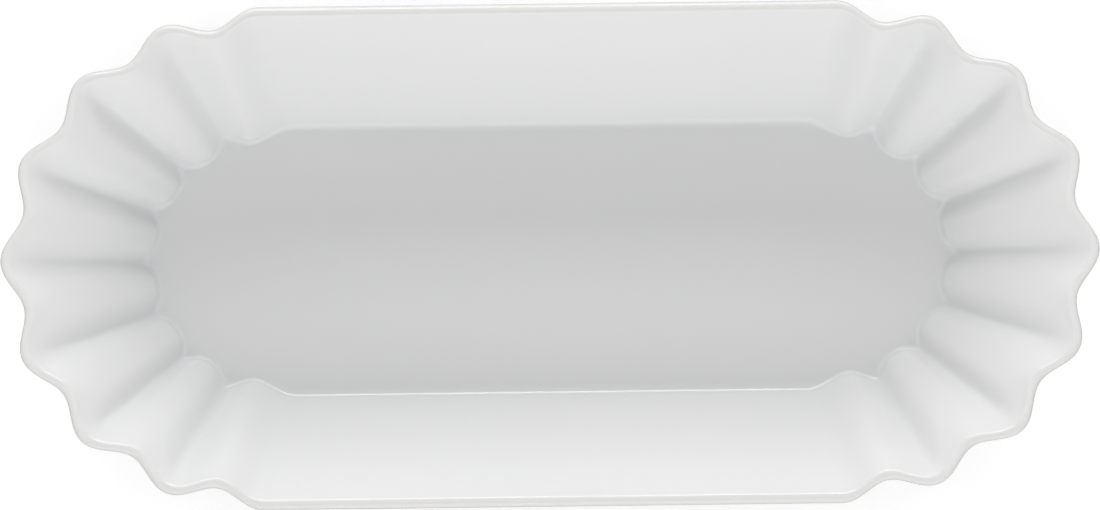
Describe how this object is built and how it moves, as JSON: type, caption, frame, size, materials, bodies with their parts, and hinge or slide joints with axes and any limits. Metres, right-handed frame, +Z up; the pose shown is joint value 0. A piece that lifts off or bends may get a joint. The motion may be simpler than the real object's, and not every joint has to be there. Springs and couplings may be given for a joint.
{
  "type": "fluted serving tray",
  "caption": "Oblong porcelain serving tray shaped like a folded paper snack tray: flat well, straight sloping sides, fluted round ends and a rounded lip on a low foot ring.",
  "frame": {"origin": "centre of the footprint, on the standing face of the foot ring", "axes": "+X along the length, +Y towards the back side wall, +Z up out of the well"},
  "size_m": [0.225, 0.103, 0.032],
  "materials": {
    "glazed_porcelain": "clear gloss glaze over white porcelain",
    "bare_porcelain": "unglazed white porcelain, ground flat where it stands"
  },
  "bodies": {
    "root": {"well_floor": "glazed_porcelain", "front_side_wall": "glazed_porcelain", "back_side_wall": "glazed_porcelain", "left_fluted_end": "glazed_porcelain", "right_fluted_end": "glazed_porcelain", "foot_ring": "bare_porcelain"}
  },
  "joints": []
}
